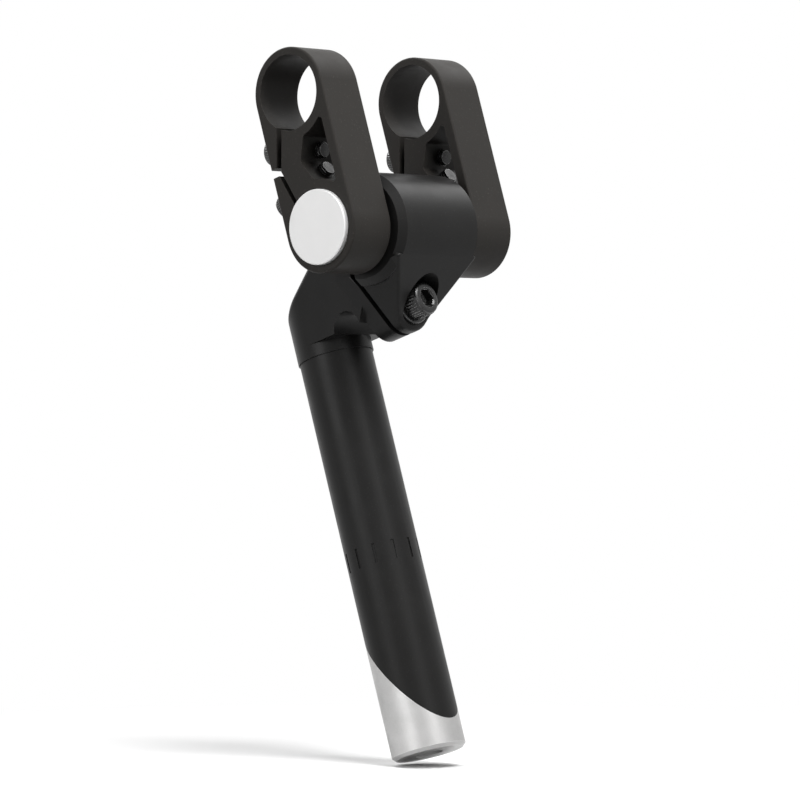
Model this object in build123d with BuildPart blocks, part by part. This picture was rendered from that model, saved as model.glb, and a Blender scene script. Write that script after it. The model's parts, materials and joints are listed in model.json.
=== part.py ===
"""Adjustable twin-arm quill stem for a bicycle, in millimetres.

A forged quill carries a cross tube in a split barrel. Two arms clamp the ends of that tube and
hold the handlebar in their upper rings, so the bar swings about the cross tube.

+Z runs up the quill's axis and the origin is on it, where the quill enters the headset's locknut.
-Y is forward and +X is the rider's left. Side outlines are written as (forward, up) of the cross
tube's axis, and `side` turns such a point into the frame's (Y, Z).
"""

import os
from math import cos, radians, sin, tan

from build123d import *

# Overall layout
reach = 35.8  # quill axis to cross tube axis, forward
tube_height = 30.0  # origin to cross tube axis, up
bar_rise = 41.4  # cross tube axis to handlebar axis
arm_gap = 38.0  # between the inner faces of the arms
arm_width = 16.0  # each arm, along the cross tube
running_fit = 0.05  # radial clearance where one piece turns in another
thread_fit = 0.03  # radial clearance of a screw in its thread

# What the stem holds
bar_diameter = 22.2
tube_diameter = 22.2
tube_wall = 2.2
tube_inset = 0.2  # tube end behind the arm's outer face

# Quill
quill_diameter = 22.2
quill_hollow = 14.0  # inner diameter
neck_step = 0.4  # the unturned neck over the quill, radially
neck_start = 2.0  # height of that step
quill_depth = 120.0  # origin to the bottom of the wedge
wedge_angle = 55.0  # slope of the expander's cut, from level
wedge_heel = 8.0  # straight height under the slope
mark_height = 60.0  # least insertion, up from the bottom of the wedge
mark_count = 12
mark_width = 1.0
mark_length = 6.0
mark_depth = 0.3
head_slope = 38.0  # top of the head, from level
head_edge_round = 2.0

# Barrel around the cross tube, and the ear under it that the pinch bolt closes
barrel_wall = 5.55
barrel_length = 35.0
barrel_chamfer = 2.0
ear_bolt_gap = 5.5  # outside of the barrel to the pinch bolt's axis, down
ear_radius = 7.8
ear_slope = 45.0  # front face of the ear, from level
ear_seat = -3.0  # seat of the washer, forward of the cross tube axis
ear_back = -14.0  # rear face of the ear
throat_offset = 2.0  # middle of the hollow behind the ear, under the pinch bolt's axis
ear_blend = 5.0  # hollow between the sloping front and the seat
ear_round = 1.2
ear_tap_run = 1.0  # pinch bolt's end past the rear face of the ear
pinch_slit = 1.6
pinch_slit_place = -7.2  # middle of the slit, forward of the cross tube axis

# Arms
ring_wall = 2.25
strut_thickness = 3.2
web_ring_wall = 2.85  # ring wall beside the window
window_waist = -1.5  # rearmost corner of the window
window_shoulder = 1.9  # forward place of its upper and lower corners
window_dip = 0.3  # how far those corners reach into the ring walls
window_round = 1.0
slit_lean = 17.7  # each slit, from the arm's length
slit_offset = -8.5  # middle of each slit at its screw
slit_screw_spread = 12.0  # between the two screws, along the arm, at the slits
bar_slit = 2.0
tube_slit = 1.4
slit_mouth = 2.6
jaw_depth = 4.2  # middle of a slit to the seat of its washer
slit_overrun = 0.6  # share of half the arm's length by which a slit runs into its ring
tap_run = 1.0  # threaded hole past a clamp screw's end
arm_edge = 0.6

# End caps
cap_thickness = 1.6
cap_edge = 0.35
cap_gap = 0.1  # cap rim inside the tube's outer radius
cap_skirt_depth = 7.0
cap_skirt_wall = 1.4

# Fasteners: thread, head diameter, head height, key across flats, washer diameter and thickness
clamp_screw = {"thread": 5.0, "head": 8.5, "height": 5.0, "key": 4.0, "washer": 9.0, "sheet": 1.0}
pinch_screw = {"thread": 6.0, "head": 10.0, "height": 6.0, "key": 5.0, "washer": 12.0, "sheet": 1.2}
expander_screw = {"thread": 8.0, "head": 13.0, "height": 8.0, "key": 6.0, "washer": 14.6, "sheet": 1.6}
clamp_screw_length = 16.0
screw_chamfer = 0.08  # share of a head's height, and of a thread's diameter
washer_chamfer = 0.2  # share of a washer's thickness
key_depth = 0.55  # share of a head's height
shank_clearance = 0.3  # radial, where a screw passes freely
spot_clearance = 0.4  # radial, around a washer
expander_seat_drop = 23.0  # cross tube axis to the washer's seat, down
expander_floor = 6.0  # metal under that seat
expander_tip = 2.0  # bolt's end above the bottom of the wedge
wedge_chamfer = 1.0

# Worked out
tube_radius = tube_diameter / 2
quill_radius = quill_diameter / 2
neck_radius = quill_radius + neck_step
tube_bore = tube_radius + running_fit
bar_bore = bar_diameter / 2 + running_fit
barrel_radius = tube_bore + barrel_wall
ear_bolt_drop = barrel_radius + ear_bolt_gap
tube_ring = tube_bore + ring_wall
bar_ring = bar_bore + ring_wall
arm_inner = arm_gap / 2
arm_outer = arm_inner + arm_width
arm_middle = arm_inner + arm_width / 2
tube_end = arm_outer - tube_inset
half_spread = slit_screw_spread / 2
quill_bottom = -quill_depth
bolt_level = tube_height - ear_bolt_drop
seat_level = tube_height - expander_seat_drop
through = 200.0  # longer than any cut needs


def side(forward, up):
    """A point beside the cross tube's axis, as Y and Z."""
    return (-reach - forward, tube_height + up)


def strip(start, end, width):
    """The corners of a straight cut of the given width from start to end."""
    first, last = Vector(*start), Vector(*end)
    across = (last - first).normalized().rotate(Axis.Z, 90) * (width / 2)
    return [tuple(p)[:2] for p in (first + across, last + across, last - across, first - across)]


def cap_screw(kind, length):
    """A socket head screw along Z, with the underside of its head at zero and its shank below."""
    with BuildPart() as screw:
        Cylinder(kind["head"] / 2, kind["height"], align=(Align.CENTER, Align.CENTER, Align.MIN))
        top = screw.faces().sort_by(Axis.Z)[-1]
        chamfer(top.edges(), kind["height"] * screw_chamfer)
        with BuildSketch(Plane.XY.offset(kind["height"])):
            RegularPolygon(kind["key"] / 2, 6, major_radius=False)
        extrude(amount=-kind["height"] * key_depth, mode=Mode.SUBTRACT)
        Cylinder(kind["thread"] / 2, length, align=(Align.CENTER, Align.CENTER, Align.MAX))
        tip = screw.faces().sort_by(Axis.Z)[0]
        chamfer(tip.edges(), kind["thread"] * screw_chamfer)
    return screw.part


def washer(kind):
    """A flat washer with its upper face at zero, where the screw's head meets it."""
    with BuildPart() as ring:
        with BuildSketch():
            Circle(kind["washer"] / 2)
            Circle(kind["thread"] / 2 + shank_clearance, mode=Mode.SUBTRACT)
        extrude(amount=-kind["sheet"])
        chamfer(ring.edges().group_by(Axis.Z)[-1].sort_by(SortBy.RADIUS)[-1], kind["sheet"] * washer_chamfer)
    return ring.part


def save(part, name):
    """Write one finished piece."""
    part.label = name
    export_step(part, f"parts/{name}.step")


os.makedirs("parts", exist_ok=True)

# Expander cut, shared by the quill and its wedge: it rises towards the rear
slope_height = 2 * quill_radius * tan(radians(wedge_angle))
wedge_plane = Plane(
    origin=(0, 0, quill_bottom + wedge_heel + slope_height / 2),
    x_dir=(1, 0, 0),
    z_dir=(0, -sin(radians(wedge_angle)), cos(radians(wedge_angle))),
)

# Head's top: a line that touches the barrel and falls towards the rear
slope = radians(head_slope)
top_touch = (-barrel_radius * sin(slope), barrel_radius * cos(slope))

# Ear's front: a line that touches the barrel below and falls towards the rear
front = radians(ear_slope)
ear_touch = (barrel_radius * sin(front), -barrel_radius * cos(front))
ear_corner = ear_touch[1] - (ear_touch[0] - ear_seat) * tan(front)
ear_bottom = -ear_bolt_drop - ear_radius
throat_radius = (reach - neck_radius + ear_back) / 2
throat_place = (ear_back - throat_radius, -ear_bolt_drop - throat_offset)

# Quill: post, head, barrel and ear in one forging
with BuildPart() as quill_body:
    # The ear, from its front outline and its side outline
    with BuildSketch(Plane.XZ.offset(reach + ear_back)):
        with Locations((0, tube_height)):
            Rectangle(barrel_length, -ear_touch[1], align=(Align.CENTER, Align.MAX))
        with Locations((0, bolt_level)):
            Circle(ear_radius)
        make_hull()
    extrude(amount=barrel_radius - ear_back)
    with BuildSketch(Plane.YZ) as ear_side:
        Polygon(
            side(ear_back, ear_bottom - 1),
            side(ear_seat, ear_bottom - 1),
            side(ear_seat, ear_corner),
            side(*ear_touch),
            side(0, 0),
            side(ear_back, 0),
            align=None,
        )
        corner = Vector(*side(ear_seat, ear_corner))
        fillet(ear_side.vertices().sort_by_distance(corner)[0], ear_blend)
    extrude(amount=barrel_length, both=True, mode=Mode.INTERSECT)
    ear_front = quill_body.faces().filter_by(lambda f: f.normal_at().Y < -0.5)
    fillet(ear_front.edges().filter_by(Axis.X, reverse=True), ear_round)

    # The post, its thicker neck, and the web that joins them to the barrel
    with BuildSketch(Plane.XY.offset(quill_bottom)):
        Circle(quill_radius)
    extrude(amount=quill_depth + neck_start)
    with BuildSketch(Plane.XY.offset(neck_start)):
        Circle(neck_radius)
    extrude(amount=tube_height + barrel_radius - neck_start)
    with BuildSketch(Plane.YZ):
        Polygon(
            side(-reach, throat_place[1]),
            side(ear_back, throat_place[1]),
            side(0, 0),
            side(*top_touch),
            side(top_touch[0], barrel_radius * 2),
            side(-reach, barrel_radius * 2),
            align=None,
        )
        with Locations(side(*throat_place)):
            Circle(throat_radius, mode=Mode.SUBTRACT)
    extrude(amount=neck_radius, both=True)
    head_plane = Plane(
        origin=(0, *side(*top_touch)),
        x_dir=(1, 0, 0),
        z_dir=(0, sin(slope), cos(slope)),
    )
    split(bisect_by=head_plane, keep=Keep.BOTTOM)
    top_face = quill_body.faces().filter_by(lambda f: f.normal_at().dot(head_plane.z_dir) > 0.999)
    rim = top_face.edges().filter_by(lambda e: e.center().Y > -reach - top_touch[0] + 1)
    fillet(rim, head_edge_round)

    # The barrel, chamfered at both ends
    with BuildSketch(Plane.XZ.offset(reach)):
        half = barrel_length / 2
        Polygon(
            (-half, tube_height),
            (-half, tube_height + barrel_radius - barrel_chamfer),
            (-half + barrel_chamfer, tube_height + barrel_radius),
            (half - barrel_chamfer, tube_height + barrel_radius),
            (half, tube_height + barrel_radius - barrel_chamfer),
            (half, tube_height),
            align=None,
        )
    revolve(axis=Axis((0, *side(0, 0)), (1, 0, 0)))
    with BuildSketch(Plane.YZ):
        with Locations(side(0, 0)):
            Circle(tube_bore)
    extrude(amount=through, both=True, mode=Mode.SUBTRACT)
    with BuildSketch(Plane.YZ):
        Polygon(
            *[side(*p) for p in strip((pinch_slit_place, 0), (pinch_slit_place, -through), pinch_slit)],
            align=None,
        )
    extrude(amount=through, both=True, mode=Mode.SUBTRACT)

    # Pinch bolt: seat and free hole in front, thread behind
    with BuildSketch(Plane.XZ.offset(reach + ear_seat)):
        with Locations((0, bolt_level)):
            Circle(pinch_screw["washer"] / 2 + spot_clearance)
    extrude(amount=through, mode=Mode.SUBTRACT)
    with BuildSketch(Plane.XZ.offset(reach + pinch_slit_place)):
        with Locations((0, bolt_level)):
            Circle(pinch_screw["thread"] / 2 + shank_clearance)
    extrude(amount=ear_seat - pinch_slit_place, mode=Mode.SUBTRACT)
    with BuildSketch(Plane.XZ.offset(reach + ear_back - throat_radius)):
        with Locations((0, bolt_level)):
            Circle(pinch_screw["thread"] / 2 + thread_fit)
    extrude(amount=pinch_slit_place - ear_back + throat_radius, mode=Mode.SUBTRACT)

    # Expander bolt: seat in the head, free hole, and the hollow quill below
    with Locations((0, 0, tube_height + barrel_radius)):
        CounterBoreHole(
            radius=expander_screw["thread"] / 2 + shank_clearance,
            counter_bore_radius=expander_screw["washer"] / 2 + spot_clearance,
            counter_bore_depth=expander_seat_drop + barrel_radius,
            depth=through,
        )
    with BuildSketch(Plane.XY.offset(quill_bottom)):
        Circle(quill_hollow / 2)
    extrude(amount=seat_level - expander_floor - quill_bottom, mode=Mode.SUBTRACT)
    split(bisect_by=wedge_plane, keep=Keep.TOP)

    # Least insertion: a ring of upright marks
    with Locations(Location((0, 0, quill_bottom + mark_height))):
        with PolarLocations(quill_radius, mark_count):
            Box(2 * mark_depth, mark_width, mark_length, mode=Mode.SUBTRACT)
save(quill_body.part, "quill_body")

# Wedge: the rest of the quill's cylinder under the same cut
with BuildPart() as expander_wedge:
    with BuildSketch(Plane.XY.offset(quill_bottom)):
        Circle(quill_radius)
        Circle(expander_screw["thread"] / 2 + running_fit, mode=Mode.SUBTRACT)
    extrude(amount=quill_depth)
    split(bisect_by=wedge_plane, keep=Keep.BOTTOM)
    chamfer(expander_wedge.edges().group_by(Axis.Z)[0].sort_by(SortBy.RADIUS)[-1], wedge_chamfer)
save(expander_wedge.part, "expander_wedge")

# Expander bolt and washer
head_level = seat_level + expander_screw["sheet"]
expander_length = head_level - (quill_bottom + expander_tip)
save(cap_screw(expander_screw, expander_length).moved(Location((0, 0, head_level))), "expander_bolt")
save(washer(expander_screw).moved(Location((0, 0, head_level))), "expander_washer")

# Pinch bolt and washer: its head looks forward
pinch_plane = Plane(
    origin=(0, -reach - ear_seat - pinch_screw["sheet"], bolt_level),
    x_dir=(1, 0, 0),
    z_dir=(0, -1, 0),
)
pinch_length = ear_seat + pinch_screw["sheet"] - ear_back + ear_tap_run
save(cap_screw(pinch_screw, pinch_length).moved(pinch_plane.location), "pinch_bolt")
save(washer(pinch_screw).moved(pinch_plane.location), "pinch_washer")

# Cross tube
with BuildPart() as cross_tube:
    with BuildSketch(Plane.YZ.offset(-tube_end)):
        with Locations(side(0, 0)):
            Circle(tube_radius)
            Circle(tube_radius - tube_wall, mode=Mode.SUBTRACT)
    extrude(amount=2 * tube_end)
save(cross_tube.part, "cross_tube")


def end_cap():
    """A push-in cap with its rim at zero: the disc stands above, the skirt hangs below."""
    with BuildPart() as cap:
        Cylinder(tube_radius - cap_gap, cap_thickness, align=(Align.CENTER, Align.CENTER, Align.MIN))
        fillet(cap.faces().sort_by(Axis.Z)[-1].edges(), cap_edge)
        with BuildSketch():
            Circle(tube_radius - tube_wall - thread_fit)
            Circle(tube_radius - tube_wall - thread_fit - cap_skirt_wall, mode=Mode.SUBTRACT)
        extrude(amount=-cap_skirt_depth)
    return cap.part


def arm(middle_x):
    """One arm, centred on middle_x: a ring at each end, a window and two slits between them."""
    middle = bar_rise / 2
    lean = radians(slit_lean)
    with BuildPart() as piece:
        with BuildSketch(Plane.YZ):
            with Locations(side(0, 0)):
                Circle(tube_ring)
            with Locations(side(0, bar_rise)):
                Circle(bar_ring)
            make_hull()
        extrude(amount=arm_width / 2, both=True)
        fillet(piece.edges().filter_by(lambda e: abs(e.center().X) > arm_width / 2 - 0.01), arm_edge)
        # Window between the strut in front and the web behind
        strut_inside = min(tube_ring, bar_ring) - strut_thickness
        lower_wall = tube_bore + web_ring_wall
        upper_wall = bar_bore + web_ring_wall
        with BuildSketch(Plane.YZ):
            Polygon(
                side(strut_inside, tube_ring / 2),
                side(strut_inside, bar_rise - bar_ring / 2),
                side(window_shoulder, bar_rise - upper_wall + window_dip),
                side(window_waist, middle),
                side(window_shoulder, lower_wall - window_dip),
                align=None,
            )
            with Locations(side(0, 0)):
                Circle(lower_wall, mode=Mode.SUBTRACT)
            with Locations(side(0, bar_rise)):
                Circle(upper_wall, mode=Mode.SUBTRACT)
        extrude(amount=arm_width, both=True, mode=Mode.SUBTRACT)
        fillet(piece.edges(Select.LAST).filter_by(Axis.X), window_round)
        with BuildSketch(Plane.YZ):
            with Locations(side(0, 0)):
                Circle(tube_bore)
            with Locations(side(0, bar_rise)):
                Circle(bar_bore)
            # One slit from each ring, meeting in a mouth at the rear
            for sign, width in ((1, bar_slit), (-1, tube_slit)):
                reach_out = Vector(sin(lean), sign * cos(lean)) * (middle * slit_overrun)
                reach_in = Vector(sin(lean), sign * cos(lean)) * (half_spread / cos(lean))
                crossing = Vector(slit_offset, middle + sign * half_spread)
                ends = (tuple(crossing - reach_in)[:2], tuple(crossing + reach_out)[:2])
                Polygon(*[side(*p) for p in strip(*ends, width)], align=None)
            mouth_start = slit_offset - half_spread * tan(lean)
            mouth = strip((mouth_start, middle), (-2 * tube_ring, middle), slit_mouth)
            Polygon(*[side(*p) for p in mouth], align=None)
        extrude(amount=arm_width, both=True, mode=Mode.SUBTRACT)
        # Each screw enters from the rear, square to its slit, and ends in the web
        for plane in (screw_plane(1, 0), screw_plane(-1, 0)):
            with BuildSketch(plane.offset(-clamp_screw["sheet"])):
                Circle(clamp_screw["washer"] / 2 + spot_clearance)
            extrude(amount=2 * ring_wall + jaw_depth, mode=Mode.SUBTRACT)
            with BuildSketch(plane.offset(-clamp_screw["sheet"] - jaw_depth)):
                Circle(clamp_screw["thread"] / 2 + shank_clearance)
            extrude(amount=jaw_depth, mode=Mode.SUBTRACT)
            with BuildSketch(plane.offset(-clamp_screw_length - tap_run)):
                Circle(clamp_screw["thread"] / 2 + thread_fit)
            extrude(amount=clamp_screw_length - jaw_depth, mode=Mode.SUBTRACT)
    return piece.part.moved(Location((middle_x, 0, 0)))


def screw_plane(sign, x):
    """Under the head of the upper (1) or lower (-1) screw of the arm at x, facing out of the head."""
    lean = radians(slit_lean)
    crossing = Vector(slit_offset, bar_rise / 2 + sign * half_spread)
    inward = Vector(cos(lean), -sign * sin(lean))
    seat = crossing - inward * (jaw_depth + clamp_screw["sheet"])
    return Plane(
        origin=(x, *side(seat.X, seat.Y)),
        x_dir=(1, 0, 0),
        z_dir=(0, inward.X, -inward.Y),
    )


for hand, sign in (("right", -1), ("left", 1)):
    save(arm(sign * arm_middle), f"{hand}_arm")
    for place, end in (("upper", 1), ("lower", -1)):
        where = screw_plane(end, sign * arm_middle).location
        save(cap_screw(clamp_screw, clamp_screw_length).moved(where), f"{hand}_{place}_screw")
        save(washer(clamp_screw).moved(where), f"{hand}_{place}_washer")
    cap_plane = Plane(
        origin=(sign * tube_end, *side(0, 0)),
        x_dir=(0, 1, 0),
        z_dir=(sign, 0, 0),
    )
    save(end_cap().moved(cap_plane.location), f"{hand}_end_cap")
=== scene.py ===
# %% [markdown]
# # An adjustable twin-arm handlebar stem
# A quill stem holds a bicycle's handlebar over its fork. A forged quill carries a short cross tube in
# a split barrel, and two arms swing on that tube and grip the bar. Their shapes come from the CAD
# frame and stay as they are. This notebook gives every piece its paint or metal, and it models the
# six socket screws, because the CAD leaves out their knurls and threads.

# %% Load the fixed frame
import json
import math

import bmesh
import bpy
from mathutils import Matrix, Vector


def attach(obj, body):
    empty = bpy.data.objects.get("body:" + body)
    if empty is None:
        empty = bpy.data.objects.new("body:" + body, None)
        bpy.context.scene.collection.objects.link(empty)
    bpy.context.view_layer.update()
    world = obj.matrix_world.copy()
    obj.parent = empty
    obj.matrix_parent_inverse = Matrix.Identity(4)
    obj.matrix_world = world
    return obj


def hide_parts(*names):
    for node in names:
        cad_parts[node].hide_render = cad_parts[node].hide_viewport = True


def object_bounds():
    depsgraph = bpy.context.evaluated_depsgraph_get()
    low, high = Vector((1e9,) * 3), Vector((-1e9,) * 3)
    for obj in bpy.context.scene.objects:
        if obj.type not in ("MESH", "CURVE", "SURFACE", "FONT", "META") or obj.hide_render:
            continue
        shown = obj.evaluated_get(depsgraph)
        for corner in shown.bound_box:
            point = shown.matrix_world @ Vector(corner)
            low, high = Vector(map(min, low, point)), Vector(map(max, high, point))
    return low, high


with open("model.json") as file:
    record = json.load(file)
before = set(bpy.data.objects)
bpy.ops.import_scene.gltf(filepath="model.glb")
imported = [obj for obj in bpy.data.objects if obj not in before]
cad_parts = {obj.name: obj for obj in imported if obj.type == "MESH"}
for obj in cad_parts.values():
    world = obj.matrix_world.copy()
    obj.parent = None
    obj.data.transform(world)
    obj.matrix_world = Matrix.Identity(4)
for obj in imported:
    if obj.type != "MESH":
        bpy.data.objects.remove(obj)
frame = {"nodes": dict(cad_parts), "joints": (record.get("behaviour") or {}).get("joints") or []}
nodes = frame["nodes"]
cad_low, cad_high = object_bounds()
MM = 0.001
print("CAD box in mm", [round(v / MM, 1) for v in (*cad_low, *cad_high)])

# %% [markdown]
# ## The true vertical and the camera
# A bicycle's headset leans back, and the quill leans with it. The frame has the quill upright, so
# here the vertical leans instead. The camera is level with the stem and looks from the front and
# the rider's right. A long lens from over a metre away keeps both arms about the same size.

# %% Camera
HEAD_LEAN = math.radians(17.7)  # quill from the vertical
VIEW_TURN = math.radians(48.4)  # camera from straight ahead, to the rider's right
CAMERA_DISTANCE = 1.3  # metres, as all lengths here
VIEW_HEIGHT = 0.236  # what the picture takes in at the stem
SENSOR = 36.0  # millimetres
CLIP_END = 20

up = Vector((0, -math.sin(HEAD_LEAN), math.cos(HEAD_LEAN)))
ahead = Vector((0, -math.cos(HEAD_LEAN), -math.sin(HEAD_LEAN)))
aside = Vector((-1, 0, 0))
to_camera = aside * math.sin(VIEW_TURN) + ahead * math.cos(VIEW_TURN)
middle = (Vector(cad_low) + Vector(cad_high)) / 2


def look(origin, direction, above):
    """The matrix of an object at origin whose -Z looks along direction, with above upwards."""
    back = -direction.normalized()
    right = above.cross(back).normalized()
    matrix = Matrix((right, back.cross(right), back)).transposed().to_4x4()
    matrix.translation = origin
    return matrix


camera_data = bpy.data.cameras.new("camera")
camera_data.sensor_width = SENSOR
camera_data.lens = SENSOR * CAMERA_DISTANCE / VIEW_HEIGHT
camera_data.clip_end = CLIP_END
camera = bpy.data.objects.new("camera", camera_data)
camera.matrix_world = look(middle + to_camera * CAMERA_DISTANCE, -to_camera, up)
bpy.context.scene.collection.objects.link(camera)
bpy.context.scene.camera = camera
print("lens", round(camera_data.lens), "mm, direction to the camera", to_camera.to_tuple(3))

# %% [markdown]
# ## Small helpers for node materials
# Every finish below is a few noise patterns that steer colour, roughness and bump. Adding a node,
# setting its inputs and linking it takes several lines, so two helpers do that once. Patterns read
# Object coordinates, which are metres in the frame, so a noise's scale is one over its grain size.

# %% Node helpers


def start(name):
    """A new material, its node tree and its Principled shader."""
    made = bpy.data.materials.new(name)
    made.use_nodes = True
    return made, made.node_tree, made.node_tree.nodes["Principled BSDF"]


def add(tree, kind, inputs=None, **settings):
    """A node of that kind. An input is given a number, a colour or another node's output."""
    made = tree.nodes.new(kind)
    for name, value in settings.items():
        setattr(made, name, value)
    for name, value in (inputs or {}).items():
        if isinstance(value, bpy.types.NodeSocket):
            tree.links.new(value, made.inputs[name])
        else:
            made.inputs[name].default_value = value
    return made


# %% Patterns


def math_node(tree, operation, a, b=0.0):
    """The result of one calculation with two numbers."""
    return add(tree, "ShaderNodeMath", {0: a, 1: b}, operation=operation).outputs[0]


def noise(tree, place, size, detail=2.0):
    """Noise from 0 to 1 whose patches are about size across."""
    inputs = {"Vector": place, "Scale": 1 / size, "Detail": detail}
    return add(tree, "ShaderNodeTexNoise", inputs).outputs["Fac"]


def ramp(tree, value, low, high, at_low=0.0, at_high=1.0):
    """value mapped smoothly from low..high to at_low..at_high."""
    inputs = {"Value": value, "From Min": low, "From Max": high, "To Min": at_low, "To Max": at_high}
    return add(tree, "ShaderNodeMapRange", inputs, interpolation_type="SMOOTHSTEP").outputs["Result"]


print("a pattern 1 mm across has a noise scale of", 1 / MM)

# %% Colours, edges and bumps


def blend_colours(tree, share, first, second):
    """A colour from first, at share 0, to second, at share 1."""
    inputs = {"Fac": share, "Color1": first, "Color2": second}
    return add(tree, "ShaderNodeMixRGB", inputs).outputs["Color"]


def grey(level, warmth=0.0):
    """A grey, and with warmth a slightly brown one."""
    return (level * (1 + warmth), level, level * (1 - warmth), 1)


def edges_of(tree, radius, start_at, full_at):
    """1 on outer and inner edges and 0 on flat faces, out to radius from the edge."""
    rounded = add(tree, "ShaderNodeBevel", {"Radius": radius}, samples=6).outputs["Normal"]
    flat = add(tree, "ShaderNodeNewGeometry").outputs["Normal"]
    alike = add(tree, "ShaderNodeVectorMath", {0: rounded, 1: flat}, operation="DOT_PRODUCT")
    return ramp(tree, alike.outputs["Value"], start_at, full_at)


def bumps(tree, shader, *layers):
    """Stack bump layers of (height, depth in metres) and give them to the shader."""
    normal = None
    for height, depth in layers:
        inputs = {"Height": height, "Distance": depth, "Strength": 1.0}
        if normal:
            inputs["Normal"] = normal
        normal = add(tree, "ShaderNodeBump", inputs).outputs["Normal"]
    tree.links.new(normal, shader.inputs["Normal"])


# %% [markdown]
# ## Floor, backdrop and light
# The stem stands over a plain white sheet. Close to it the sheet is ordinary matt paper that takes
# the shadow. Further out it turns into even white, as does the world, so that no horizon shows, and
# this adds no light to the stem. A Light Path node tells what is looked at from what only throws
# light, so the paper looks white but throws back little, and the black undersides stay dark.
# The sheet has one side only, so that a view from underneath sees the stem through it.

# %% What is looked at


def seen_by_eye(tree):
    """1 for what the camera sees directly, mirrored or through glass, and 0 for light on the stem."""
    path = add(tree, "ShaderNodeLightPath").outputs
    mirrored = math_node(tree, "MAXIMUM", path["Is Glossy Ray"], path["Is Transmission Ray"])
    return math_node(tree, "MAXIMUM", path["Is Camera Ray"], mirrored)


# %% Floor
FLOOR_GAP = 0.5 * MM
PAPER_REACH = 6.0  # from the middle of the sheet to its sides

cad_points = [vert.co for node in nodes.values() for vert in node.data.vertices]
foot = min(cad_points, key=lambda point: point.dot(up))  # the stem's lowest point

shape = bmesh.new()
bmesh.ops.create_grid(shape, x_segments=1, y_segments=1, size=PAPER_REACH)
floor_mesh = bpy.data.meshes.new("floor")
shape.to_mesh(floor_mesh)
shape.free()
floor = bpy.data.objects.new("floor", floor_mesh)
floor.matrix_world = look(foot - up * FLOOR_GAP, -up, ahead)
bpy.context.scene.collection.objects.link(floor)
print("floor is", round(((middle - foot).dot(up) + FLOOR_GAP) / MM), "mm under the middle")

# %% Paper
PAPER_RADIUS = (0.08, 0.26)  # where the paper starts to turn white, and where it has
PAPER_BOUNCE = 0.25  # the paper's grey for the light it throws back on the stem

paper, paper_tree, matt = start("white_paper")
matt.inputs["Roughness"].default_value = 0.9
matt.inputs["Specular IOR Level"].default_value = 0.1
paper_place = add(paper_tree, "ShaderNodeTexCoord").outputs["Object"]
fibres = noise(paper_tree, paper_place, 1.5 * MM, 4)
shown = blend_colours(paper_tree, fibres, grey(0.86), grey(0.9))
seen = seen_by_eye(paper_tree)
paper_tree.links.new(
    blend_colours(paper_tree, seen, grey(PAPER_BOUNCE), shown), matt.inputs["Base Color"]
)
out_from_foot = add(paper_tree, "ShaderNodeVectorMath", {0: paper_place}, operation="LENGTH")
fade = ramp(paper_tree, out_from_foot.outputs["Value"], *PAPER_RADIUS)
white = add(paper_tree, "ShaderNodeEmission", {"Color": grey(1.0), "Strength": 1.0})
share = math_node(paper_tree, "MULTIPLY", fade, seen)
sheet = add(
    paper_tree,
    "ShaderNodeMixShader",
    {0: share, 1: matt.outputs["BSDF"], 2: white.outputs["Emission"]},
)
back_side = add(paper_tree, "ShaderNodeNewGeometry").outputs["Backfacing"]
clear = add(paper_tree, "ShaderNodeBsdfTransparent").outputs["BSDF"]
one_sided = add(
    paper_tree, "ShaderNodeMixShader", {0: back_side, 1: sheet.outputs["Shader"], 2: clear}
)
paper_tree.links.new(
    one_sided.outputs["Shader"], paper_tree.nodes["Material Output"].inputs["Surface"]
)
floor_mesh.materials.append(paper)
print("paper has", len(paper_tree.nodes), "nodes")

# %% World
ROOM_LIGHT = 0.09  # what the walls of the studio throw back from everywhere

world = bpy.data.worlds.new("studio")
bpy.context.scene.world = world
world.use_nodes = True
sky = world.node_tree
room = sky.nodes["Background"]
room.inputs["Color"].default_value = grey(1.0)
room.inputs["Strength"].default_value = ROOM_LIGHT
backdrop = add(sky, "ShaderNodeBackground", {"Color": grey(1.0), "Strength": 1.0})
both = add(
    sky,
    "ShaderNodeMixShader",
    {0: seen_by_eye(sky), 1: room.outputs["Background"], 2: backdrop.outputs["Background"]},
)
sky.links.new(both.outputs["Shader"], sky.nodes["World Output"].inputs["Surface"])
print("room light", ROOM_LIGHT, "and backdrop 1.0")

# %% [markdown]
# Matt black shows its shape only by broad, soft reflections. The lamp overhead gives the level of
# light. One high on the far side is mirrored in the barrel, and draws the long highlight along its
# upper edge. Three more open up the front, the near side and the back.

# %% Lamps


def softbox(name, direction, distance, size, watts, above=up):
    """A square lamp that faces the middle of the stem, with its upper side towards above."""
    lamp_data = bpy.data.lights.new(name, "AREA")
    lamp_data.size = size
    lamp_data.energy = watts
    lamp = bpy.data.objects.new(name, lamp_data)
    spot = middle + direction.normalized() * distance
    lamp.matrix_world = look(spot, middle - spot, above)
    bpy.context.scene.collection.objects.link(lamp)
    print(name, watts, "W at", distance, "m")


softbox("overhead", up + aside * 0.1 + ahead * 0.55, 0.9, 0.4, 8.5, above=ahead)
softbox("far_side", up * 0.65 - aside * 0.75, 1.0, 0.5, 1.8)
softbox("front", ahead + aside * 0.25 + up * 0.6, 1.2, 0.6, 2.0)
softbox("near_side", aside - ahead * 0.2 + up * 0.4, 1.2, 0.6, 5.0)
softbox("behind", -ahead - aside * 0.35 + up * 0.7, 1.2, 0.7, 9.0)

# %% [markdown]
# ## Painted alloy
# The quill, the barrel and the arms are forged alloy under a thin matt black powder coat. It has a
# fine grain, soft waves from the forging under it, and faint grey rub marks along the edges, where
# tools and cables touch it. The lighter edges are also a painted highlight, for the light that the
# chamfers catch. One function makes both coats, each with its own numbers, since the barrel is a
# little darker and smoother than the arms.

# %% Paint


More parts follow.
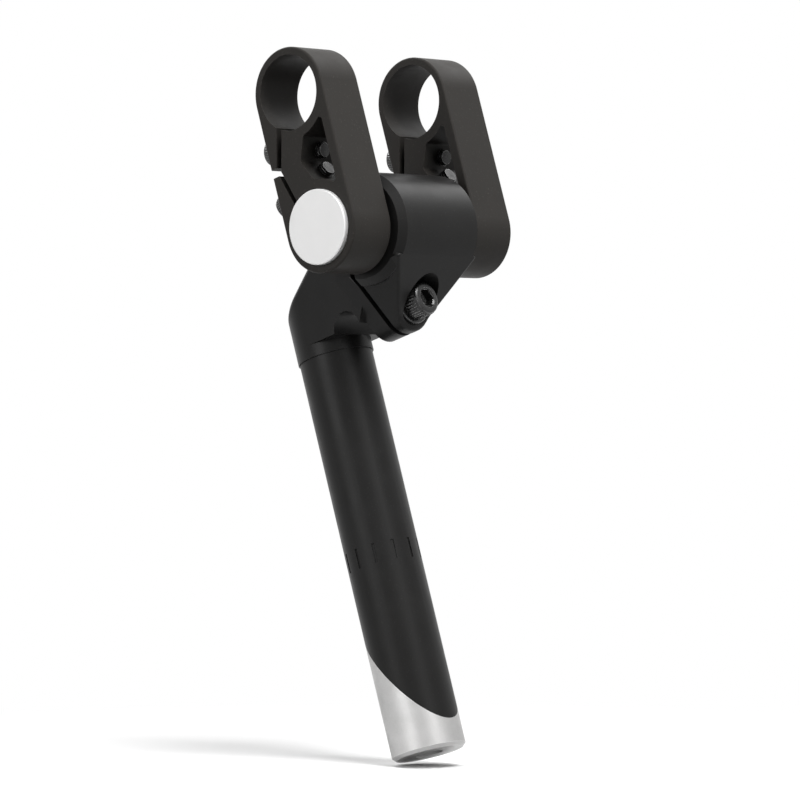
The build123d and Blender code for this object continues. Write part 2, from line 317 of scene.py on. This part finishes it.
def powder_coat(name, level, warmth, roughness, sheen_level, grain_depth):
    """Matt black paint with grain, waves, blotches, and edges lightened as rub marks and painted
    highlight.
    """
    made, tree, shader = start(name)
    place = add(tree, "ShaderNodeTexCoord").outputs["Object"]
    clouds = noise(tree, place, 9 * MM, 3)
    waves = noise(tree, place, 2.6 * MM, 2)
    grain = noise(tree, place, 0.32 * MM, 3)
    specks = ramp(tree, noise(tree, place, 0.55 * MM, 1), 0.66, 0.74)
    # Edge mask: rub marks, and also a painted highlight on the chamfers.
    rubbed_and_highlit = math_node(
        tree,
        "MULTIPLY",
        edges_of(tree, 0.35 * MM, 0.992, 0.9),
        ramp(tree, noise(tree, place, 1.4 * MM, 4), 0.42, 0.62),
    )
    coat = blend_colours(tree, clouds, grey(level * 0.82, warmth), grey(level * 1.18, warmth))
    dusty = blend_colours(
        tree, math_node(tree, "MULTIPLY", specks, 0.25), coat, grey(level * 3.0, warmth)
    )
    # The edges are lightened, partly as rub marks and partly as a painted highlight.
    worn = blend_colours(
        tree, math_node(tree, "MULTIPLY", rubbed_and_highlit, 0.7), dusty, grey(level * 2.6, warmth)
    )
    tree.links.new(worn, shader.inputs["Base Color"])
    tree.links.new(
        ramp(tree, clouds, 0.3, 0.7, roughness - 0.04, roughness + 0.05), shader.inputs["Roughness"]
    )
    shader.inputs["Specular IOR Level"].default_value = sheen_level
    bumps(tree, shader, (waves, 0.012 * MM), (grain, grain_depth))
    return made


FORGING_COAT = powder_coat(
    "forging_black_coat",
    level=0.012,
    warmth=0.02,
    roughness=0.37,
    sheen_level=0.14,
    grain_depth=0.010 * MM,
)
ARM_COAT = powder_coat(
    "arm_black_coat",
    level=0.024,
    warmth=0.09,
    roughness=0.5,
    sheen_level=0.12,
    grain_depth=0.020 * MM,
)
print("paints:", FORGING_COAT.name, ARM_COAT.name)
# %% [markdown]
# The cross tube is steel tube under the same black, but drawn smooth, and the clamps have polished
# it round and round. Rings about the tube's own axis need that axis as their centre, so a Mapping
# node moves the coordinates there, and the distance along the tube drives the fine rings.

# %% Cross tube
pivot = next(joint for joint in frame["joints"] if joint["name"] == "arms_tilt")["pos_m"]
print("the tube's axis passes through, in mm,", [round(v / MM, 1) for v in pivot])


def round_axis(tree, centre):
    """Coordinates centred on an axis along X, and the distance from that axis."""
    place = add(tree, "ShaderNodeTexCoord").outputs["Object"]
    shift = tuple(-c for c in centre)
    moved = add(tree, "ShaderNodeMapping", {"Vector": place, "Location": shift}).outputs["Vector"]
    parts = add(tree, "ShaderNodeSeparateXYZ", {"Vector": moved}).outputs
    flat = add(tree, "ShaderNodeCombineXYZ", {"Y": parts["Y"], "Z": parts["Z"]}).outputs["Vector"]
    away = add(tree, "ShaderNodeVectorMath", {0: flat}, operation="LENGTH").outputs["Value"]
    return moved, parts["X"], away


def turned_tube(name):
    """Satin black tube with fine rings round it."""
    made, tree, shader = start(name)
    place, along, _ = round_axis(tree, pivot)
    stretched = add(tree, "ShaderNodeCombineXYZ", {"X": along}).outputs["Vector"]
    rings = noise(tree, stretched, 0.12 * MM, 2)
    clouds = noise(tree, place, 6 * MM, 2)
    tint = blend_colours(tree, clouds, grey(0.016), grey(0.028))
    scored = blend_colours(tree, ramp(tree, rings, 0.6, 0.75, 0.0, 0.4), tint, grey(0.09))
    tree.links.new(scored, shader.inputs["Base Color"])
    tree.links.new(ramp(tree, rings, 0.3, 0.7, 0.3, 0.42), shader.inputs["Roughness"])
    shader.inputs["Specular IOR Level"].default_value = 0.45
    bumps(tree, shader, (rings, 0.004 * MM))
    return made


TUBE_COAT = turned_tube("tube_black_coat")

# %% [markdown]
# ## Bare metals
# The end caps are pale, bead-blasted alloy discs, almost white, with the ghost of turning
# rings under the blasting. The wedge is a tumbled casting. The expander's bolt and washer are
# zinc plated, which is never one even grey: it drifts a little between blue and straw.

# %% Blasted end caps


def blasted_cap(name):
    """Pale blasted alloy with faint turning rings about the cross tube's axis, and a painted shadow
    on its rim.
    """
    made, tree, shader = start(name)
    place, _, away = round_axis(tree, pivot)
    turns = math_node(tree, "SINE", math_node(tree, "MULTIPLY", away, 2 * math.pi / (0.35 * MM)))
    blast = noise(tree, place, 0.18 * MM, 2)
    smudges = noise(tree, place, 5 * MM, 4)
    tint = blend_colours(tree, smudges, grey(0.66, 0.002), grey(0.76, 0.004))
    # The edges are darkened in colour: a painted shadow along the cap's rim.
    edge = edges_of(tree, 0.3 * MM, 0.99, 0.92)
    tree.links.new(
        blend_colours(tree, math_node(tree, "MULTIPLY", edge, 0.35), tint, grey(0.55)),
        shader.inputs["Base Color"],
    )
    shader.inputs["Metallic"].default_value = 0.6
    tree.links.new(ramp(tree, smudges, 0.3, 0.7, 0.5, 0.62), shader.inputs["Roughness"])
    bumps(tree, shader, (turns, 0.0012 * MM), (blast, 0.008 * MM))
    return made


CAP_METAL = blasted_cap("blasted_silver")
print("cap metal has", len(CAP_METAL.node_tree.nodes), "nodes")

# %% Cast wedge


def cast_alloy(name):
    """A tumbled casting: soft dents, dull patches and bright rubbed edges."""
    made, tree, shader = start(name)
    place = add(tree, "ShaderNodeTexCoord").outputs["Object"]
    dents = noise(tree, place, 1.8 * MM, 3)
    skin = noise(tree, place, 0.4 * MM, 3)
    stains = noise(tree, place, 7 * MM, 4)
    tint = blend_colours(tree, stains, grey(0.34, 0.01), grey(0.5, 0.005))
    edge = edges_of(tree, 0.4 * MM, 0.99, 0.9)
    tree.links.new(
        blend_colours(tree, math_node(tree, "MULTIPLY", edge, 0.6), tint, grey(0.8)),
        shader.inputs["Base Color"],
    )
    shader.inputs["Metallic"].default_value = 0.95
    tree.links.new(ramp(tree, skin, 0.3, 0.7, 0.36, 0.52), shader.inputs["Roughness"])
    bumps(tree, shader, (dents, 0.03 * MM), (skin, 0.012 * MM))
    return made


WEDGE_METAL = cast_alloy("tumbled_casting")
print("wedge metal has", len(WEDGE_METAL.node_tree.nodes), "nodes")

# %% Zinc plate


def zinc_plate(name, blue, straw, roughness):
    """Bright plated steel that drifts between two tints."""
    made, tree, shader = start(name)
    place = add(tree, "ShaderNodeTexCoord").outputs["Object"]
    drift = noise(tree, place, 2.5 * MM, 3)
    spangle = noise(tree, place, 0.25 * MM, 2)
    tree.links.new(
        blend_colours(tree, ramp(tree, drift, 0.35, 0.65), blue, straw), shader.inputs["Base Color"]
    )
    shader.inputs["Metallic"].default_value = 1.0
    tree.links.new(
        ramp(tree, spangle, 0.3, 0.7, roughness - 0.06, roughness + 0.08),
        shader.inputs["Roughness"],
    )
    bumps(tree, shader, (spangle, 0.004 * MM))
    return made


ZINC = zinc_plate("zinc_plate", (0.58, 0.61, 0.66, 1), (0.66, 0.63, 0.55, 1), 0.3)
CUT_STEEL = zinc_plate("cut_steel", (0.62, 0.62, 0.63, 1), (0.72, 0.71, 0.69, 1), 0.24)
print("bright steels:", ZINC.name, CUT_STEEL.name)

# %% [markdown]
# The clamp screws and their washers are steel with an oiled black skin. The skin is thin, so keys
# and washers soon rub it through, and the rims of a socket and the tips of a knurl shine. The
# noise decides how far each stretch of an edge is rubbed.

# %% Black screw steel


def black_steel(name, rub):
    """Oiled black steel whose edges are rubbed bright. rub is how far."""
    made, tree, shader = start(name)
    place = add(tree, "ShaderNodeTexCoord").outputs["Object"]
    oil = noise(tree, place, 1.6 * MM, 3)
    skin = noise(tree, place, 0.2 * MM, 2)
    edge = edges_of(tree, 0.16 * MM, 0.985, 0.85)
    worn = math_node(tree, "MULTIPLY", edge, ramp(tree, oil, 0.35, 0.6, 0.35, rub))
    tint = blend_colours(tree, oil, grey(0.018), grey(0.04))
    tree.links.new(blend_colours(tree, worn, tint, grey(0.62)), shader.inputs["Base Color"])
    tree.links.new(ramp(tree, worn, 0.0, 0.6, 0.55, 1.0), shader.inputs["Metallic"])
    tree.links.new(ramp(tree, oil, 0.3, 0.7, 0.22, 0.4), shader.inputs["Roughness"])
    bumps(tree, shader, (skin, 0.003 * MM))
    return made


SCREW_STEEL = black_steel("oiled_black_steel", 0.9)
print("black steel has", len(SCREW_STEEL.node_tree.nodes), "nodes")

# %% Give the CAD pieces their finishes
finishes = {
    "quill_body": FORGING_COAT,
    "expander_wedge": WEDGE_METAL,
    "expander_washer": ZINC,
    "cross_tube": TUBE_COAT,
    "right_arm": ARM_COAT,
    "left_arm": ARM_COAT,
    "right_end_cap": CAP_METAL,
    "left_end_cap": CAP_METAL,
    **{name: SCREW_STEEL for name in nodes if name.endswith("washer") and "expander" not in name},
}
for name, finish in finishes.items():
    for slot in nodes[name].material_slots:
        slot.material = finish
print("finished CAD pieces:", len(finishes))

# %% [markdown]
# ## Socket screws: the head
# A socket screw is rolled from wire. Its head has a knurled side for fingers, a smooth rim, and a
# hexagon pressed into the top that ends in a shallow cone. Here the head grows from one ring of
# points. The ring is extruded level by level, and at each level it takes a new outline: knurled,
# round or hexagonal. A ring of 72 points has one on each ridge, each groove and each hexagon
# corner, so no level needs new points.

# %% Head
RIDGES = 36
RING = 2 * RIDGES
SHARP = math.radians(32)  # edges turned by more than this stay sharp
print("points in the head's ring:", RING)


def ring_level(shape, edges, outline, height):
    """Extrude the ring of edges and move its new points onto outline(angle, index) at height."""
    grown = bmesh.ops.extrude_edge_only(shape, edges=edges)["geom"]
    points = [g for g in grown if isinstance(g, bmesh.types.BMVert)]
    for point in points:
        angle = math.atan2(point.co.y, point.co.x)
        step = round(angle / (2 * math.pi) * RING)
        turn = 2 * math.pi * step / RING
        reach = outline(turn, step)
        point.co = Vector((reach * math.cos(turn), reach * math.sin(turn), height))
    new_edges = [g for g in grown if isinstance(g, bmesh.types.BMEdge)]
    return [edge for edge in new_edges if all(vert in points for vert in edge.verts)]


def circle(radius):
    """A round outline."""
    return lambda turn, step: radius


def knurl(radius, depth):
    """A round outline with a groove at every second point."""
    return lambda turn, step: radius - depth * (step % 2)


def hexagon(flat_radius):
    """A hexagon's outline, by the distance from its middle to its flats."""
    sixth = math.pi / 3
    return lambda turn, step: flat_radius / math.cos(turn % sixth - sixth / 2)


def screw_head(shape, kind):
    """A knurled socket head over z = 0, in millimetres."""
    radius, height, key = kind["head"] / 2, kind["height"], kind["key"] / 2
    groove = radius * 0.05
    rim = height * 0.16
    floor_height = height * 0.45
    made = bmesh.ops.create_circle(shape, cap_ends=False, segments=RING, radius=radius * 0.4)
    ring = list({edge for vert in made["verts"] for edge in vert.link_edges})
    centre_below = made["verts"]
    levels = (
        (circle(radius - groove * 1.6), 0.0),
        (knurl(radius - groove * 0.4, groove * 0.6), groove * 1.2),
        (knurl(radius, groove), groove * 2.4),
        (knurl(radius, groove), height - rim * 1.25),
        (circle(radius - groove), height - rim),
        (circle(radius - groove * 1.3), height - rim * 0.45),
        (circle(radius - rim * 0.75), height - rim * 0.08),
        (circle(radius - rim * 1.1), height),
        (circle(key * 1.235), height),
        (circle(key * 1.165), height - key * 0.09),
        (hexagon(key), height - key * 0.16),
        (hexagon(key), floor_height + key * 0.1),
        (hexagon(key * 0.93), floor_height),
        (circle(key * 0.8), floor_height - key * 0.05),
        (circle(key * 0.08), floor_height - key * 0.4),
    )
    for outline, level in levels:
        ring = ring_level(shape, ring, outline, level)
    last = list({vert for edge in ring for vert in edge.verts})
    bmesh.ops.pointmerge(shape, verts=last, merge_co=Vector((0, 0, floor_height - key * 0.45)))
    bmesh.ops.pointmerge(shape, verts=centre_below, merge_co=Vector((0, 0, 0)))


# %% [markdown]
# ## Socket screws: the thread
# A thread is one tooth outline carried up a helix. All teeth are drawn at once, as a zigzag line
# along the shank, and one full spin that climbs by one pitch moves each tooth exactly onto the
# next. Merging the doubles closes the surface, and two planes trim the ends square. This
# gives true right-hand threads with few faces. The tip is then narrowed to the chamfer that helps
# a screw to start.

# %% Thread
TURN_STEPS = 32
THREAD_DEPTH = 0.61  # share of the pitch
TOOTH = ((0, 0.0), (0, 0.25), (1, 0.56), (1, 0.69))  # root or crest, and place along one pitch
BARE_TIP = 1  # material slot of the cut end


def everything(shape):
    """All points, edges and faces of a bmesh, as its operators take them."""
    return [*shape.verts, *shape.edges, *shape.faces]


def trimmed(shape, level, direction, slot):
    """Cut a closed or open shape square at z = level, and close the cut with one face."""
    cut = bmesh.ops.bisect_plane(
        shape,
        geom=everything(shape),
        plane_co=(0, 0, level),
        plane_no=(0, 0, direction),
        clear_outer=True,
    )
    rim = [g for g in cut["geom_cut"] if isinstance(g, bmesh.types.BMEdge)]
    for face in bmesh.ops.holes_fill(shape, edges=rim, sides=0)["faces"]:
        face.material_index = slot


def thread(radius, pitch, top, bottom):
    """A right-hand thread from z = top down to z = bottom, in a bmesh of its own."""
    shape = bmesh.new()
    root = radius - THREAD_DEPTH * pitch
    turns = math.ceil((top - bottom) / pitch) + 3
    points = [
        shape.verts.new((radius if crest else root, 0, bottom + (turn - 2 + share) * pitch))
        for turn in range(turns)
        for crest, share in TOOTH
    ]
    lines = [shape.edges.new(pair) for pair in zip(points, points[1:])]
    bmesh.ops.spin(
        shape,
        geom=points + lines,
        cent=(0, 0, 0),
        axis=(0, 0, 1),
        dvec=(0, 0, pitch / TURN_STEPS),
        angle=2 * math.pi,
        steps=TURN_STEPS,
        use_merge=False,
        use_duplicate=False,
    )
    bmesh.ops.remove_doubles(shape, verts=shape.verts, dist=pitch * 0.01)
    trimmed(shape, top, 1, 0)
    trimmed(shape, bottom, -1, BARE_TIP)
    chamfer = 0.9 * (radius - root)
    for vert in shape.verts:
        across = Vector((vert.co.x, vert.co.y, 0))
        limit = radius - max(0.0, chamfer - (vert.co.z - bottom))
        if across.length > limit:
            vert.co = across * (limit / across.length) + Vector((0, 0, vert.co.z))
    return shape


# %% [markdown]
# ## Socket screws: into place
# Each CAD screw says where its detailed one goes. Its axis is known, and its own mesh gives the
# rest: how far it reaches along that axis, and where the axis runs. The two screws of an arm
# lean against each other, because each stands square to its slit.

# %% Where a screw goes


def along(name, axis):
    """A CAD piece's lowest and highest place along an axis, and the middle of it across."""
    points = [vert.co for vert in nodes[name].data.vertices]
    across = axis.orthogonal().normalized()
    other = axis.cross(across)

    def span(direction):
        reached = [point.dot(direction) for point in points]
        return min(reached), max(reached)

    centre = across * (sum(span(across)) / 2) + other * (sum(span(other)) / 2)
    return centre, *span(axis)


# %% From bmesh to object


def piece_from(shape, name, *finishes):
    """A finished object from a bmesh that is already in place."""
    bmesh.ops.recalc_face_normals(shape, faces=shape.faces)
    for face in shape.faces:
        face.smooth = True
    for edge in shape.edges:
        edge.smooth = edge.is_manifold and edge.calc_face_angle(0) < SHARP
    mesh = bpy.data.meshes.new(name)
    shape.to_mesh(mesh)
    shape.free()
    for finish in finishes:
        mesh.materials.append(finish)
    piece = bpy.data.objects.new(name, mesh)
    bpy.context.scene.collection.objects.link(piece)
    return piece


# %% Put a screw together
HEAD_SINK = 0.2  # the shank starts this far inside the head, in millimetres


def socket_screw(name, cad_name, axis, kind, body, finishes):
    """A detailed screw that stands for a CAD one. axis points from its tip to its head."""
    centre, low, high = along(cad_name, axis)
    length = (high - low) / MM - kind["height"]
    shape = bmesh.new()
    screw_head(shape, kind)
    thread_top = -kind["plain"] if kind["plain"] else HEAD_SINK
    shanks = [thread(kind["thread"] / 2, kind["pitch"], thread_top, -length)]
    if kind["plain"]:
        plain = bmesh.new()
        bmesh.ops.create_cone(
            plain,
            cap_ends=True,
            segments=TURN_STEPS,
            radius1=kind["thread"] / 2,
            radius2=kind["thread"] / 2,
            depth=kind["plain"] + HEAD_SINK,
            matrix=Matrix.Translation((0, 0, (HEAD_SINK - kind["plain"]) / 2)),
        )
        shanks.append(plain)
    for shank in shanks:
        carried = bpy.data.meshes.new("shank")
        shank.to_mesh(carried)
        shank.free()
        shape.from_mesh(carried)
        bpy.data.meshes.remove(carried)
    turn = axis.to_track_quat("Z", "Y").to_matrix().to_4x4()
    place = Matrix.Translation(centre + axis * (high - kind["height"] * MM)) @ turn
    bmesh.ops.transform(shape, matrix=place @ Matrix.Scale(MM, 4), verts=shape.verts)
    piece = piece_from(shape, name, *finishes)
    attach(piece, body)
    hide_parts(cad_name)
    print(name, "length", round(length, 1), "mm, faces", len(piece.data.polygons))
    return piece


# %% [markdown]
# Sizes are those of standard socket screws, in millimetres. Only the expander's long bolt has a
# plain shank, and its thread starts where the wedge is.

# %% The six screws
SLIT_LEAN = math.radians(17.7)  # each clamp screw from the arm's square
M5 = {"thread": 5.0, "pitch": 0.8, "head": 8.5, "height": 5.0, "key": 4.0, "plain": 0}
M6 = {"thread": 6.0, "pitch": 1.0, "head": 10.0, "height": 6.0, "key": 5.0, "plain": 0}
M8 = {"thread": 8.0, "pitch": 1.25, "head": 13.0, "height": 8.0, "key": 6.0, "plain": 95.0}
BLACK = (SCREW_STEEL, SCREW_STEEL)  # blackened after it was cut, so the tip is black too
PLATED = (ZINC, CUT_STEEL)

for hand in ("right", "left"):
    for place, sign in (("upper", 1), ("lower", -1)):
        axis = Vector((0, math.cos(SLIT_LEAN), sign * math.sin(SLIT_LEAN)))
        cad_name = f"{hand}_{place}_screw"
        name = f"{hand}_{place}_socket_screw"
        socket_screw(name, cad_name, axis, M5, "arms", BLACK)

forwards = Vector((0, -1, 0))
upwards = Vector((0, 0, 1))
socket_screw("pinch_socket_screw", "pinch_bolt", forwards, M6, "quill", BLACK)
socket_screw(
    "expander_socket_screw", "expander_bolt", upwards, M8, "expander_bolt", PLATED
)

# %% [markdown]
# ## The view transform
# The render uses the Standard view transform.

# %% View transform
bpy.context.scene.view_settings.view_transform = "Standard"
